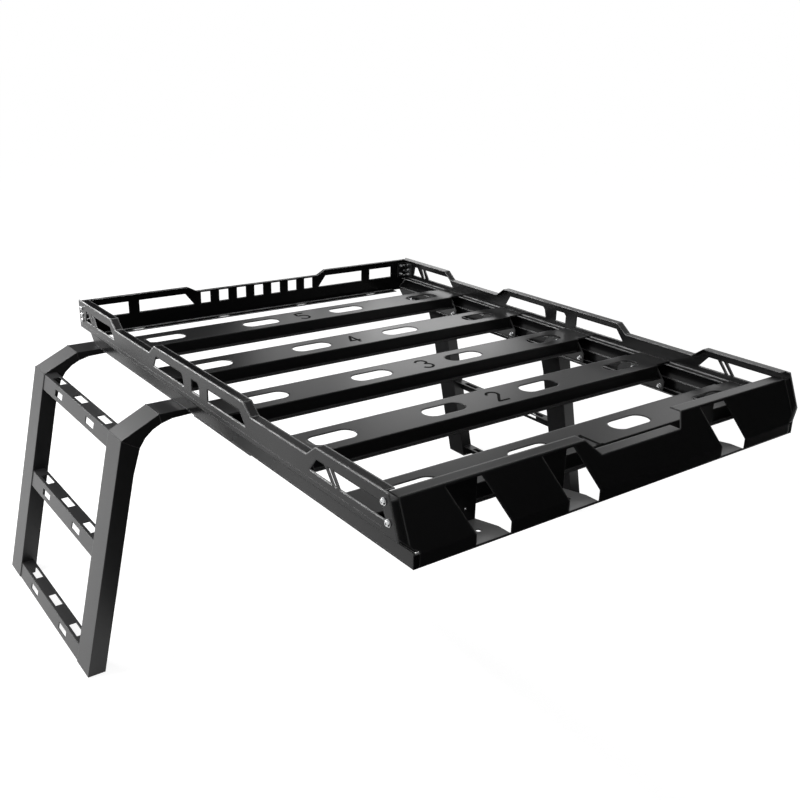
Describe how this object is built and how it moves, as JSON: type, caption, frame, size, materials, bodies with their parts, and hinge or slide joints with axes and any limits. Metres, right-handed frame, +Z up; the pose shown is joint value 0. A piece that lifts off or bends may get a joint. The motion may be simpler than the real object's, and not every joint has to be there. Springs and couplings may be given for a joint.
{
  "type": "flat platform roof rack",
  "caption": "Flat platform roof rack of folded steel with raised side rails, cross slats, a front deflector with lamp openings and a step ladder on each side.",
  "frame": {"origin": "underside of the left mounting foot, at the foot's middle", "axes": "+X to the rack's right, +Y to its rear, +Z up"},
  "size_m": [1.825, 1.675, 0.837],
  "materials": {
    "black_steel": "satin black powder coat"
  },
  "bodies": {
    "root": {"left_rail": "black_steel", "right_rail": "black_steel", "rear_rail": "black_steel", "front_deflector": "black_steel", "slat_1": "black_steel", "slat_2": "black_steel", "slat_3": "black_steel", "slat_4": "black_steel", "slat_5": "black_steel", "slat_bracket_left_1": "black_steel", "slat_bracket_left_2": "black_steel", "slat_bracket_left_3": "black_steel", "slat_bracket_left_4": "black_steel", "slat_bracket_left_5": "black_steel", "slat_bracket_right_1": "black_steel", "slat_bracket_right_2": "black_steel", "slat_bracket_right_3": "black_steel", "slat_bracket_right_4": "black_steel", "slat_bracket_right_5": "black_steel", "corner_bracket_front_left": "black_steel", "corner_bracket_front_right": "black_steel", "corner_bracket_rear_left": "black_steel", "corner_bracket_rear_right": "black_steel", "lamp_bracket_1": "black_steel", "lamp_bracket_2": "black_steel", "lamp_bracket_3": "black_steel", "left_foot": "black_steel", "right_foot": "black_steel", "ladder_post_front_left": "black_steel", "ladder_post_rear_left": "black_steel", "ladder_step_top_left": "black_steel", "ladder_step_middle_left": "black_steel", "ladder_step_bottom_left": "black_steel", "ladder_post_front_right": "black_steel", "ladder_post_rear_right": "black_steel", "ladder_step_top_right": "black_steel", "ladder_step_middle_right": "black_steel", "ladder_step_bottom_right": "black_steel"}
  },
  "joints": []
}
